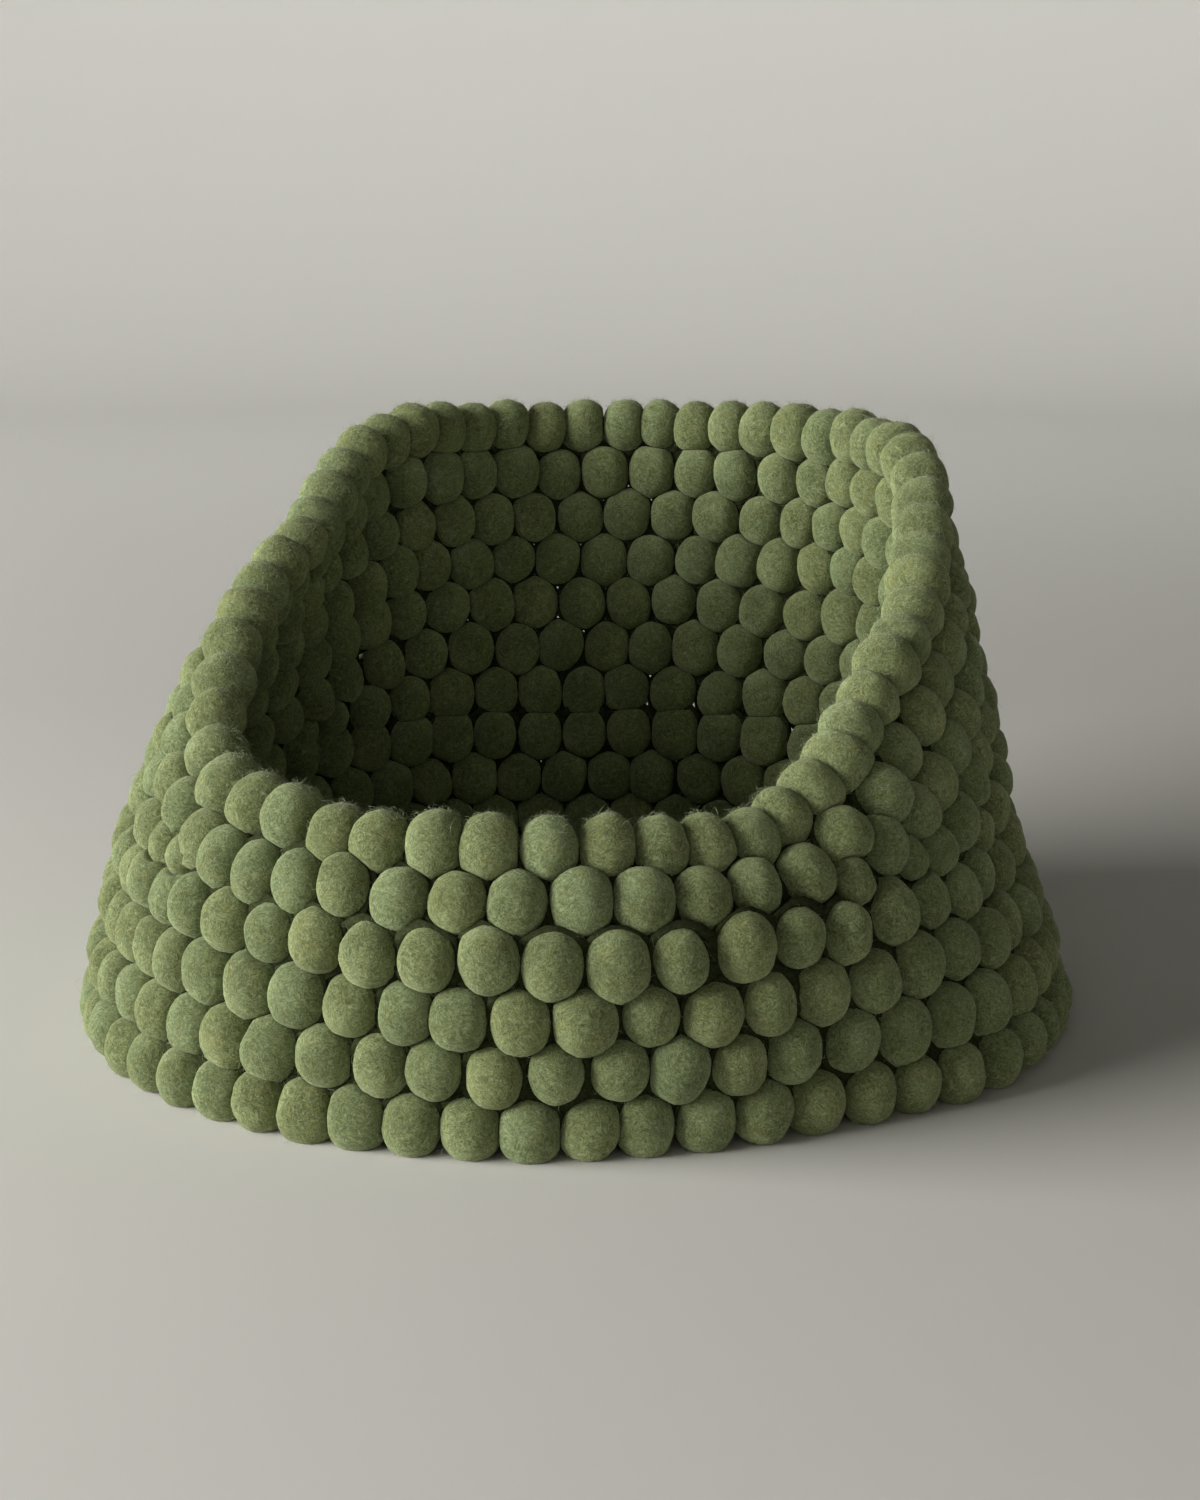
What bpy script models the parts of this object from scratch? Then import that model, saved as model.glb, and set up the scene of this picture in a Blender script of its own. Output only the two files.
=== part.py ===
"""Open cat basket of felted wool balls, threaded into strands and sewn strand to strand.

Units are metres, +Z is up, and the low front of the opening faces -Y. The origin is at the middle
of the footprint, on the surface that the basket stands on. Each strand is one closed solid: the
outline of its row of balls, flat where it meets the next strand or the ground.
"""
import math

import bmesh
import bpy
from mathutils import Vector

# ---------------------------------------------------------------- driving sizes
ROW_PITCH = 0.0208          # centre to centre of two strands, measured up the wall
SEAM_GAP = 0.0003           # left between two strands that are sewn together
FOOT_CENTRE_HEIGHT = 0.0106  # the lowest balls are pressed a little flat
RIM_TOP = 0.0112            # from the middle of the rim strand to its free top
WALL_HALF_THICKNESS = 0.0108
FLAT_SHARE = 0.42           # share of the thickness that a strand's flat faces take up
SIDE_SHARE = 0.23           # height of the side corners, as a share of a strand's height

FULL_ROWS = 4               # closed level strands, from the ground up to the shoulder
SHORT_ROWS = 5              # strands that run round the sides and the back only
SHORT_ROW_END_SHARE = 0.5   # a short strand ends where this share of a ball still fits
SHORT_ROW_TIP = 0.35        # how far the tip of a short strand is drawn in
SHORT_ROW_TIP_STEPS = 0.3   # least length of that tip, in wall sections

BASE_RINGS = 8              # rings of balls in the floor, round one middle ball
FINE_BASE_RINGS = 4         # the outer ones have as many sections as the wall
BASE_MIDDLE_FLAT_SHARE = 0.7  # flat part of the middle ball, as a share of its width

SECTIONS_ROUND = 44
WALL_MIDDLE = Vector((-0.0066, -0.0112, 0.0))  # the point that the reaches are measured from

# Shape of the wall, seen from above, by bearing: 0 is the front, 90 the right side. A reach is
# measured from WALL_MIDDLE to the middle of the strand, at the foot, half way up the full rows
# (belly), at the highest full row (shoulder) and at the rim. The last column is the rim's height.
WALL_COLUMNS = ("bearing", "foot", "belly", "shoulder", "rim", "rim_height")
WALL_TABLE = (
    (0, 0.179, 0.181, 0.181, 0.159, 0.108),
    (30, 0.179, 0.179, 0.177, 0.150, 0.107),
    (60, 0.197, 0.188, 0.174, 0.144, 0.152),
    (90, 0.201, 0.192, 0.179, 0.147, 0.187),
    (120, 0.191, 0.189, 0.185, 0.170, 0.217),
    (150, 0.180, 0.181, 0.182, 0.198, 0.217),
    (180, 0.174, 0.174, 0.174, 0.203, 0.216),
    (210, 0.175, 0.174, 0.172, 0.162, 0.217),
    (240, 0.181, 0.178, 0.173, 0.127, 0.187),
    (270, 0.188, 0.183, 0.174, 0.130, 0.163),
    (300, 0.190, 0.183, 0.175, 0.151, 0.119),
    (330, 0.183, 0.180, 0.178, 0.160, 0.108),
)
FOOT_LEVEL = 1.0            # the three levels of the table, counted in rows from the ground
BELLY_LEVEL = 2.5
SHOULDER_LEVEL = float(FULL_ROWS)

FELT_COLOUR = (0.205, 0.240, 0.115, 1.0)
FELT_ROUGHNESS = 0.95
SHARP_EDGE_ANGLE = math.radians(50)


# ---------------------------------------------------------------- shape of the wall
def around(column, bearing):
    """Value of a table column at a bearing in degrees, on a smooth closed curve."""
    place = WALL_COLUMNS.index(column)
    count = len(WALL_TABLE)
    position = (bearing % 360.0) / 360.0 * count
    first = int(position)
    t = position - first
    before, start, end, after = (WALL_TABLE[(first + step) % count][place] for step in (-1, 0, 1, 2))
    return 0.5 * (2 * start + (end - before) * t
                  + (2 * before - 5 * start + 4 * end - after) * t ** 2
                  + (3 * start - before - 3 * end + after) * t ** 3)


def full_row_point(bearing, level):
    """Reach and height of the wall's middle line at a level of the full rows."""
    foot = around("foot", bearing)
    belly = around("belly", bearing)
    shoulder = around("shoulder", bearing)
    foot_part = ((level - BELLY_LEVEL) * (level - SHOULDER_LEVEL)
                 / ((FOOT_LEVEL - BELLY_LEVEL) * (FOOT_LEVEL - SHOULDER_LEVEL)))
    belly_part = ((level - FOOT_LEVEL) * (level - SHOULDER_LEVEL)
                  / ((BELLY_LEVEL - FOOT_LEVEL) * (BELLY_LEVEL - SHOULDER_LEVEL)))
    shoulder_part = 1.0 - foot_part - belly_part
    reach = foot * foot_part + belly * belly_part + shoulder * shoulder_part
    return Vector((reach, FOOT_CENTRE_HEIGHT + (level - FOOT_LEVEL) * ROW_PITCH))


def rim_point(bearing):
    return Vector((around("rim", bearing), around("rim_height", bearing)))


def upper_wall(bearing):
    """Rim point, direction up the wall and length of the wall from the shoulder to the rim."""
    shoulder = full_row_point(bearing, SHOULDER_LEVEL)
    rim = rim_point(bearing)
    upward = rim - shoulder
    return rim, upward.normalized(), upward.length


def outward(upward):
    """Direction square to the wall, away from the inside, in the plane of reach and height."""
    return Vector((upward.y, -upward.x))


def in_space(bearing, point):
    angle = math.radians(bearing)
    reach = point.x
    return WALL_MIDDLE + Vector((reach * math.sin(angle), -reach * math.cos(angle), point.y))


# ---------------------------------------------------------------- sections of a strand
# A section has eight corners, in order: top inner, top outer, outer side upper and lower,
# bottom outer, bottom inner, inner side lower and upper.
UNDERSIDE_CORNER = 4        # the flat underside runs from this corner to the next


def section(middle, upward, top, top_upward, bottom, bottom_upward, inner, outer):
    half_seam = SEAM_GAP / 2
    height = (top - bottom).length
    square = outward(upward)
    top_edge = outward(top_upward) * (WALL_HALF_THICKNESS * FLAT_SHARE)
    bottom_edge = outward(bottom_upward) * (WALL_HALF_THICKNESS * FLAT_SHARE)
    side_rise = upward * (height * SIDE_SHARE)
    top_seat = top - top_upward * half_seam
    bottom_seat = bottom + bottom_upward * half_seam
    return [top_seat - top_edge, top_seat + top_edge,
            middle + square * outer + side_rise, middle + square * outer - side_rise,
            bottom_seat + bottom_edge, bottom_seat - bottom_edge,
            middle - square * inner - side_rise, middle - square * inner + side_rise]


def full_row_section(bearing, row):
    middle = full_row_point(bearing, row)
    below = full_row_point(bearing, row - 0.5)
    top = full_row_point(bearing, row + 0.5)
    bottom_upward = (middle - full_row_point(bearing, row - 1)).normalized()
    top_upward = (full_row_point(bearing, row + 1) - middle).normalized()
    inner = WALL_HALF_THICKNESS
    if row == FULL_ROWS:
        top_upward = upper_wall(bearing)[1]
        top = middle + top_upward * (ROW_PITCH / 2)
    if row == 1:
        bottom_upward = Vector((0.0, 1.0))
        below = Vector((middle.x, -SEAM_GAP / 2))
        inner = WALL_HALF_THICKNESS - SEAM_GAP / 2
    upward = (bottom_upward + top_upward).normalized()
    return section(middle, upward, top, top_upward, below, bottom_upward, inner, WALL_HALF_THICKNESS)


def upper_row_section(bearing, rows_below_rim):
    """Section of the rim, the collar or a short row, which hang off the rim row by row."""
    rim, upward, length = upper_wall(bearing)
    shoulder_seam = length - ROW_PITCH / 2
    top_distance = (rows_below_rim - 0.5) * ROW_PITCH
    bottom_distance = min((rows_below_rim + 0.5) * ROW_PITCH, shoulder_seam)
    if rows_below_rim == 0:
        top_distance = -RIM_TOP
    top = rim - upward * top_distance
    bottom = rim - upward * bottom_distance
    middle = (top + bottom) / 2
    return section(middle, upward, top, upward, bottom, upward,
                   WALL_HALF_THICKNESS, WALL_HALF_THICKNESS)


def ring_of_sections(make_section, count=SECTIONS_ROUND):
    sections = []
    for index in range(count):
        bearing = 360.0 * index / count
        sections.append([in_space(bearing, corner) for corner in make_section(bearing)])
    return sections


def blend(first, second, share):
    return [a.lerp(b, share) for a, b in zip(first, second)]


def drawn_in(corners, share):
    middle = sum(corners, Vector()) / len(corners)
    return [corner.lerp(middle, share) for corner in corners]


# ---------------------------------------------------------------- meshes
def felt_material(name):
    material = bpy.data.materials.new(name + "_felt")
    material.use_nodes = True
    shader = material.node_tree.nodes["Principled BSDF"]
    shader.inputs["Base Color"].default_value = FELT_COLOUR
    shader.inputs["Roughness"].default_value = FELT_ROUGHNESS
    shader.inputs["Metallic"].default_value = 0.0
    return material


def add_object(name, mesh_data):
    mesh = bpy.data.meshes.new(name)
    mesh_data.to_mesh(mesh)
    mesh_data.free()
    mesh.shade_smooth()
    mesh.set_sharp_from_angle(angle=SHARP_EDGE_ANGLE)
    mesh.materials.append(felt_material(name))
    piece = bpy.data.objects.new(name, mesh)
    bpy.context.scene.collection.objects.link(piece)


def add_strand(name, sections, closed):
    """Skin over a strand's sections. Flat faces that meet are split along the same diagonal."""
    mesh_data = bmesh.new()
    loops = [[mesh_data.verts.new(corner) for corner in corners] for corners in sections]
    corner_count = len(loops[0])
    spans = len(loops) if closed else len(loops) - 1
    for index in range(spans):
        here = loops[index]
        there = loops[(index + 1) % len(loops)]
        for corner in range(corner_count):
            after = (corner + 1) % corner_count
            if corner == UNDERSIDE_CORNER:
                mesh_data.faces.new((here[corner], here[after], there[corner]))
                mesh_data.faces.new((here[after], there[after], there[corner]))
            else:
                mesh_data.faces.new((here[corner], here[after], there[after]))
                mesh_data.faces.new((here[corner], there[after], there[corner]))
    if not closed:
        mesh_data.faces.new(reversed(loops[0]))
        mesh_data.faces.new(loops[-1])
    bmesh.ops.recalc_face_normals(mesh_data, faces=mesh_data.faces)
    add_object(name, mesh_data)


# ---------------------------------------------------------------- the strands
def add_full_rows():
    for row in range(1, FULL_ROWS + 1):
        name = "foot_row" if row == 1 else f"wall_row_{row}"
        add_strand(name, ring_of_sections(lambda bearing: full_row_section(bearing, row)), True)


def room_for_row(index, rows_below_rim):
    """Height that is free for a short row at a wall section, as a share of the row pitch."""
    length = upper_wall(360.0 * index / SECTIONS_ROUND)[2]
    return length / ROW_PITCH - rows_below_rim


def end_position(rows_below_rim, step):
    """Section number, with its fraction, at which a short row ends, going round from the back."""
    index = SECTIONS_ROUND // 2
    while room_for_row(index + step, rows_below_rim) > SHORT_ROW_END_SHARE:
        index += step
    here = room_for_row(index, rows_below_rim)
    there = room_for_row(index + step, rows_below_rim)
    return index + step * (here - SHORT_ROW_END_SHARE) / (here - there)


def add_short_row(name, rows_below_rim):
    sections = ring_of_sections(lambda bearing: upper_row_section(bearing, rows_below_rim))

    def at(position):
        lower = math.floor(position)
        return blend(sections[lower % SECTIONS_ROUND], sections[(lower + 1) % SECTIONS_ROUND],
                     position - lower)

    start = end_position(rows_below_rim, -1)
    end = end_position(rows_below_rim, 1)
    strand = [drawn_in(at(start), SHORT_ROW_TIP)]
    for index in range(math.ceil(start + SHORT_ROW_TIP_STEPS), math.floor(end) + 1):
        if index < end - SHORT_ROW_TIP_STEPS:
            strand.append(sections[index % SECTIONS_ROUND])
    strand.append(drawn_in(at(end), SHORT_ROW_TIP))
    add_strand(name, strand, False)


def add_upper_rows():
    add_strand("rim_row", ring_of_sections(lambda bearing: upper_row_section(bearing, 0)), True)
    add_strand("collar_row", ring_of_sections(lambda bearing: upper_row_section(bearing, 1)), True)
    for number in range(1, SHORT_ROWS + 1):
        rows_below_rim = SHORT_ROWS + 2 - number
        add_short_row(f"short_row_{number}", rows_below_rim)


def floor_reach(bearing):
    return around("foot", bearing) - WALL_HALF_THICKNESS - SEAM_GAP / 2


def base_ring_section(bearing, outer_share, inner_share):
    """Six corners: a flat underside, sides that meet the next rings, and a flat top."""
    outer = floor_reach(bearing) * outer_share - SEAM_GAP / 2
    inner = floor_reach(bearing) * inner_share + SEAM_GAP / 2
    middle = (outer + inner) / 2
    edge = (outer - inner) / 2 * FLAT_SHARE
    top = FOOT_CENTRE_HEIGHT * 2
    return [Vector((middle - edge, top)), Vector((middle + edge, top)),
            Vector((outer, FOOT_CENTRE_HEIGHT)),
            Vector((middle + edge, 0.0)), Vector((middle - edge, 0.0)),
            Vector((inner, FOOT_CENTRE_HEIGHT))]


def add_base():
    """The floor: rings of one layer of balls, drawn evenly in to one middle ball."""
    share_step = 1.0 / (BASE_RINGS + 0.5)
    for ring in range(BASE_RINGS):
        outer_share = 1.0 - ring * share_step
        inner_share = outer_share - share_step
        count = SECTIONS_ROUND if ring < FINE_BASE_RINGS else SECTIONS_ROUND // 2
        sections = ring_of_sections(
            lambda bearing: base_ring_section(bearing, outer_share, inner_share), count)
        add_strand(f"base_ring_{ring + 1}", sections, True)
    add_base_middle(share_step / 2)


def add_base_middle(share):
    mesh_data = bmesh.new()
    levels = ((BASE_MIDDLE_FLAT_SHARE, 0.0), (1.0, FOOT_CENTRE_HEIGHT),
              (BASE_MIDDLE_FLAT_SHARE, 2 * FOOT_CENTRE_HEIGHT))
    loops = []
    count = SECTIONS_ROUND // 2
    for reach_share, height in levels:
        loop = []
        for index in range(count):
            bearing = 360.0 * index / count
            reach = (floor_reach(bearing) * share - SEAM_GAP / 2) * reach_share
            loop.append(mesh_data.verts.new(in_space(bearing, Vector((reach, height)))))
        loops.append(loop)
    for lower, upper in zip(loops, loops[1:]):
        for index in range(count):
            after = (index + 1) % count
            mesh_data.faces.new((lower[index], lower[after], upper[after], upper[index]))
    mesh_data.faces.new(reversed(loops[0]))
    mesh_data.faces.new(loops[-1])
    bmesh.ops.recalc_face_normals(mesh_data, faces=mesh_data.faces)
    add_object("base_middle", mesh_data)


for old in list(bpy.data.objects):
    bpy.data.objects.remove(old, do_unlink=True)
add_full_rows()
add_upper_rows()
add_base()
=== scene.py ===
"""Looks of an open cat basket of felted wool balls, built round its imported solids.

The order follows the making: balls are threaded into strands, sewing draws the strands together,
the balls press on each other, and the wool's loose fibres come last. Everything is in metres, +Z
up, with the low front towards -Y. Bearings are in degrees, 0 at the front and 90 on the right.
"""
import math

import bpy
import numpy as np
from mathutils import Matrix, Vector


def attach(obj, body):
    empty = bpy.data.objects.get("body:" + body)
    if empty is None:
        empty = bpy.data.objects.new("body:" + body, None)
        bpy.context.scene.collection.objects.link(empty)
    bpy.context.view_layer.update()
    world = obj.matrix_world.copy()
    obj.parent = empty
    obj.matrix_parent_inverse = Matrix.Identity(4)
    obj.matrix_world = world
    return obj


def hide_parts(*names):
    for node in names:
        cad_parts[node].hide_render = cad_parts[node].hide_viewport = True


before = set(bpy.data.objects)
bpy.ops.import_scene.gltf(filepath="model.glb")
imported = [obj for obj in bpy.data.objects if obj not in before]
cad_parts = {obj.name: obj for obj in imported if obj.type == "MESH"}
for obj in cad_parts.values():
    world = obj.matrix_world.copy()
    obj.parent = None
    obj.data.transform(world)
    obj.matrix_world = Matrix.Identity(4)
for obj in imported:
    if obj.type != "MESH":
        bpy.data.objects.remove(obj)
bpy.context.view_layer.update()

# ---------------------------------------------------------------- threading the wall
# Felted wool balls are threaded on yarn, one strand for each row. The four lowest strands are
# level closed ovals. The others hang off the slanted rim, row by row, and the short ones end at the
# sides.
ROW_PITCH = 0.0208
FOOT_CENTRE_HEIGHT = 0.0106
FULL_ROWS = 4               # level rows, the foot among them
BELLY_LEVEL = 2.5           # in rows, counted as the foot is row 1
WALL_MIDDLE = Vector((-0.0066, -0.0112, 0.0))
WALL_COLUMNS = ("bearing", "foot", "belly", "shoulder", "rim", "rim_height", "rim_spacing")
WALL_TABLE = (              # foot, belly, shoulder and rim are reaches from the wall's middle
    (0, 0.179, 0.181, 0.181, 0.159, 0.108, 0.0215),
    (30, 0.179, 0.179, 0.177, 0.150, 0.107, 0.0172),
    (60, 0.197, 0.188, 0.174, 0.144, 0.152, 0.0175),
    (90, 0.201, 0.192, 0.179, 0.147, 0.187, 0.0220),
    (120, 0.191, 0.189, 0.185, 0.170, 0.217, 0.0205),
    (150, 0.180, 0.181, 0.182, 0.198, 0.217, 0.0190),
    (180, 0.174, 0.174, 0.174, 0.203, 0.216, 0.0190),
    (210, 0.175, 0.174, 0.172, 0.162, 0.217, 0.0195),
    (240, 0.181, 0.178, 0.173, 0.127, 0.187, 0.0205),
    (270, 0.188, 0.183, 0.174, 0.130, 0.163, 0.0195),
    (300, 0.190, 0.183, 0.175, 0.151, 0.119, 0.0240),
    (330, 0.183, 0.180, 0.178, 0.160, 0.108, 0.0200),
)
LEVEL_STRANDS = (           # strand, row, number of balls, bearing of the first ball
    ("foot_row", 1, 55, 3.6),
    ("wall_row_2", 2, 52, 0.2),
    ("wall_row_3", 3, 52, 3.3),
    ("wall_row_4", 4, 50, -0.2),
)
COLLAR_BALLS = 51
COLLAR_START = 2.6          # bearing of its first ball
RIM_BALLS = 55
RIM_START = -1.0
SHORT_STRANDS = (           # strand, rows below the rim, spacing, bearing of the ball at the back
    ("short_row_1", 6, 0.0228, 177.2),
    ("short_row_2", 5, 0.0225, 181.5),
    ("short_row_3", 4, 0.0222, 178.2),
    ("short_row_4", 3, 0.0214, 181.0),
    ("short_row_5", 2, 0.0215, 178.5),
)
SHORT_ROW_END_SHARE = 0.2   # a short strand ends where less than this share of a ball fits
SHORT_ROW_SPREAD = 150      # degrees from its ball at the back to its end, at most
SHORT_ROW_HALF = 40         # more balls than half a short strand has
CLOSED_STEPS = 721          # bearings at which a closed strand is measured, all round
HALF_STEPS = 361            # and a short one, from the back to the front
SIGHT = 0.5                 # degrees to each side of a ball that give its strand's direction there
SMALLEST_SHARE = 0.6        # size of a ball where there is no room, as a share of a whole one
SPACING_DRIFT = 0.5         # the right side is threaded a little looser than the left, in balls
UPPER_BULGE = 0.003         # of the wall between its shoulder and its rim
WALL_BALL = Vector((0.0116, 0.0119, 0.0132))  # half sizes: along the strand, through, up
RIM_BALL = Vector((0.0114, 0.0130, 0.0130))
HAND_SEED = 11
SIZE_SPREAD = 0.035         # of a ball's size
SHAPE_SPREAD = 0.025        # of each half size by itself

hand = np.random.default_rng(HAND_SEED)  # everything in which one ball differs from the next


def around(column, bearing):
    """A column of the wall's table at any bearing, on a smooth curve through its rows."""
    place = WALL_COLUMNS.index(column)
    count = len(WALL_TABLE)
    position = (bearing % 360.0) / 360.0 * count
    first = int(position)
    t = position - first
    before, start, end, after = (
        WALL_TABLE[(first + step) % count][place] for step in (-1, 0, 1, 2))
    return 0.5 * (2 * start + (end - before) * t
                  + (2 * before - 5 * start + 4 * end - after) * t ** 2
                  + (3 * start - before - 3 * end + after) * t ** 3)


def full_row_point(bearing, level):
    """Reach and height of a level row, on a curve through the foot, the belly and the shoulder."""
    foot = around("foot", bearing)
    belly = around("belly", bearing)
    shoulder = around("shoulder", bearing)
    foot_part = (level - BELLY_LEVEL) * (level - FULL_ROWS) / ((1 - BELLY_LEVEL) * (1 - FULL_ROWS))
    belly_part = (level - 1) * (level - FULL_ROWS) / ((BELLY_LEVEL - 1) * (BELLY_LEVEL - FULL_ROWS))
    reach = foot * foot_part + belly * belly_part + shoulder * (1 - foot_part - belly_part)
    return Vector((reach, FOOT_CENTRE_HEIGHT + (level - 1) * ROW_PITCH))


def upper_wall(bearing):
    """The rim's point, the way up to it from the shoulder, and how far that is."""
    shoulder = full_row_point(bearing, FULL_ROWS)
    rim = Vector((around("rim", bearing), around("rim_height", bearing)))
    upward = rim - shoulder
    return rim, upward.normalized(), upward.length


def in_space(bearing, point):
    """The place in the basket of a reach and a height at a bearing."""
    angle = math.radians(bearing)
    return Vector((point.x * math.sin(angle), -point.x * math.cos(angle), point.y)) + WALL_MIDDLE


def full_row_place(level):
    """For a bearing: the strand's middle, the way up the wall and the share of a ball that fits."""
    def place(bearing):
        middle = full_row_point(bearing, level)
        upward = full_row_point(bearing, level + 0.5) - full_row_point(bearing, level - 0.5)
        return middle, upward.normalized(), 1.0
    return place


def upper_row_place(rows_below_rim):
    """The same for a strand that hangs off the rim. Near the shoulder it gets what room is left."""
    def place(bearing):
        rim, upward, length = upper_wall(bearing)
        top = (rows_below_rim - 0.5) * ROW_PITCH
        bottom = min(top + ROW_PITCH, length - ROW_PITCH / 2)
        share = (top + bottom) / 2 / length
        outward = Vector((upward.y, -upward.x)) * (UPPER_BULGE * 4 * share * (1 - share))
        return rim - upward * (length * share) + outward, upward, (bottom - top) / ROW_PITCH
    return place


def path_lengths(place, bearings):
    """How far along the strand each of the bearings is from the first."""
    points = [in_space(bearing, place(bearing)[0]) for bearing in bearings]
    steps = [(after - before).length for before, after in zip(points, points[1:])]
    return np.concatenate([[0.0], np.cumsum(steps)])


def rim_bearings(place, balls, front_ball):
    """Bearings of the rim's balls, which are threaded tight at some places and loose at others."""
    bearings = np.linspace(front_ball, front_ball + 360.0, CLOSED_STEPS)
    spacing = np.array([around("rim_spacing", bearing) for bearing in bearings])
    counted = np.cumsum(np.diff(path_lengths(place, bearings)) / spacing[1:])
    counted = np.concatenate([[0.0], counted])
    return np.interp(np.arange(balls) * counted[-1] / balls, counted, bearings)


def closed_bearings(place, balls, front_ball):
    """Bearings of the balls of a closed strand, with the drift in their spacing."""
    bearings = np.linspace(front_ball, front_ball + 360.0, CLOSED_STEPS)
    lengths = path_lengths(place, bearings)
    number = np.arange(balls)
    drift = SPACING_DRIFT * (1 - np.cos(2 * np.pi * number / balls))
    return np.interp((number + drift) / balls * lengths[-1], lengths, bearings)


def short_bearings(place, spacing, back_ball):
    """Bearings of the balls of a short strand, counted both ways from its ball at the back."""
    found = [back_ball]
    for way in (-1, 1):
        bearings = back_ball + way * np.linspace(0.0, 180.0, HALF_STEPS)
        lengths = path_lengths(place, bearings)
        for number in range(1, SHORT_ROW_HALF):
            bearing = float(np.interp(number * spacing, lengths, bearings))
            ended = place(bearing)[2] < SHORT_ROW_END_SHARE
            if ended or abs(bearing - back_ball) > SHORT_ROW_SPREAD:
                break
            found.append(bearing)
    return sorted(found)


def wall_balls(place, bearings, half_sizes):
    """Middle, axes and half sizes of each ball of a strand."""
    balls = []
    for bearing in bearings:
        middle, upward, room = place(bearing)
        ahead = in_space(bearing + SIGHT, place(bearing + SIGHT)[0])
        behind = in_space(bearing - SIGHT, place(bearing - SIGHT)[0])
        along = (ahead - behind).normalized()
        up = in_space(bearing, upward) - WALL_MIDDLE
        through = up.cross(along).normalized()
        up = along.cross(through)
        share = SMALLEST_SHARE + (1 - SMALLEST_SHARE) * room
        shape = Vector(1.0 + hand.normal(0.0, SHAPE_SPREAD, 3))
        share *= 1.0 + hand.normal(0.0, SIZE_SPREAD)
        balls.append([in_space(bearing, middle), Matrix((along, through, up)).transposed(),
                      half_sizes * shape * share])
    return balls


strands = {}
for name, level, balls, front_ball in LEVEL_STRANDS:
    place = full_row_place(level)
    strands[name] = wall_balls(place, closed_bearings(place, balls, front_ball), WALL_BALL)
place = upper_row_place(1)
strands["collar_row"] = wall_balls(
    place, closed_bearings(place, COLLAR_BALLS, COLLAR_START), WALL_BALL)
place = upper_row_place(0)
strands["rim_row"] = wall_balls(place, rim_bearings(place, RIM_BALLS, RIM_START), RIM_BALL)
for name, rows_below_rim, spacing, back_ball in SHORT_STRANDS:
    place = upper_row_place(rows_below_rim)
    strands[name] = wall_balls(place, short_bearings(place, spacing, back_ball), WALL_BALL)

# ---------------------------------------------------------------- drawing the wall together
# Sewing draws the strands together, so the balls slide along their yarn until they touch, and into
# the gaps beside the ends of the short strands. The rim and the foot keep their heights.
SETTLING_TURNS = 120
SETTLING_STEP = 0.15        # share of the wanted move that is made in one turn
SETTLED_SHARE = 0.955       # distance of two settled balls, as a share of their sizes
DRAWING_REACH = 1.45        # two balls further apart than this share aren't sewn to each other
DRAWING = 0.5               # pull of the sewing, beside a push of 1
HOLD = {"rim_row": 4.0, "foot_row": 4.0, "wall_row_2": 1.2, "wall_row_3": 0.8, "wall_row_4": 0.4}
LOOSE_HOLD = 0.2            # of the other strands
SLIDING_HOLD = 0.2          # share of the hold that is left along the yarn


def settle(strands):
    """Moves the balls inside the wall until what pushes, draws and holds them is in balance."""
    balls = [ball for name in strands for ball in strands[name]]
    hold = np.array([HOLD.get(name, LOOSE_HOLD) for name in strands for ball in strands[name]])
    start = np.array([ball[0] for ball in balls])
    axes = np.array([ball[1] for ball in balls])
    half_sizes = np.array([ball[2] for ball in balls])
    middles = start.copy()
    for turn in range(SETTLING_TURNS):
        apart = middles[:, None] - middles[None]
        distance = np.linalg.norm(apart, axis=2) + np.eye(len(balls))
        towards = apart / distance[:, :, None]
        reach = np.einsum("ijk,ikm->ijm", towards, axes) / half_sizes[:, None]
        reach = 1 / np.maximum(np.linalg.norm(reach, axis=2), 1.0)  # a ball's size on that side
        wanted = (reach + reach.T) * SETTLED_SHARE
        push = np.where(distance < wanted, wanted - distance, 0.0)
        drawn = (distance >= wanted) & (distance < wanted * DRAWING_REACH)
        push = push - np.where(drawn, (distance - wanted) * DRAWING, 0.0)
        back = start - middles
        along = (back * axes[:, :, 0]).sum(1)[:, None] * axes[:, :, 0]
        back -= along * (1 - SLIDING_HOLD)
        move = (towards * push[:, :, None]).sum(1) + back * hold[:, None]
        move -= axes[:, :, 1] * (move * axes[:, :, 1]).sum(1)[:, None]  # not out of the wall
        middles += move * SETTLING_STEP
    for ball, middle in zip(balls, middles):
        ball[0] = Vector(middle)


settle(strands)

# ---------------------------------------------------------------- threading the floor
# The floor is one layer of the same balls, in rings inside the foot strand, drawn evenly in to one
# middle ball.
BASE_RINGS = 8
FLOOR_STEPS = 181           # bearings at which a ring is measured
WALL_HALF_THICKNESS = 0.0108
FLOOR_SPACING = 0.0219
FLOOR_BALL = Vector((0.0120, 0.0113, 0.0116))
MIDDLE_SHARE = 0.001        # the middle ball's ring, just wide enough to have a direction


def floor_place(share):
    """The same as for a strand of the wall, at a share of the way out to the foot strand."""
    def place(bearing):
        reach = (around("foot", bearing) - WALL_HALF_THICKNESS) * share
        return Vector((reach, FOOT_CENTRE_HEIGHT)), Vector((1.0, 0.0)), 1.0
    return place


for ring in range(BASE_RINGS):
    place = floor_place(1 - (ring + 0.5) / (BASE_RINGS + 0.5))
    length = path_lengths(place, np.linspace(0.0, 360.0, FLOOR_STEPS))[-1]
    balls = round(length / FLOOR_SPACING)
    bearings = [360.0 * (number + ring / 2) / balls for number in range(balls)]
    strands[f"base_ring_{ring + 1}"] = wall_balls(place, bearings, FLOOR_BALL)
strands["base_middle"] = wall_balls(floor_place(MIDDLE_SHARE), [0.0], FLOOR_BALL)

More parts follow.
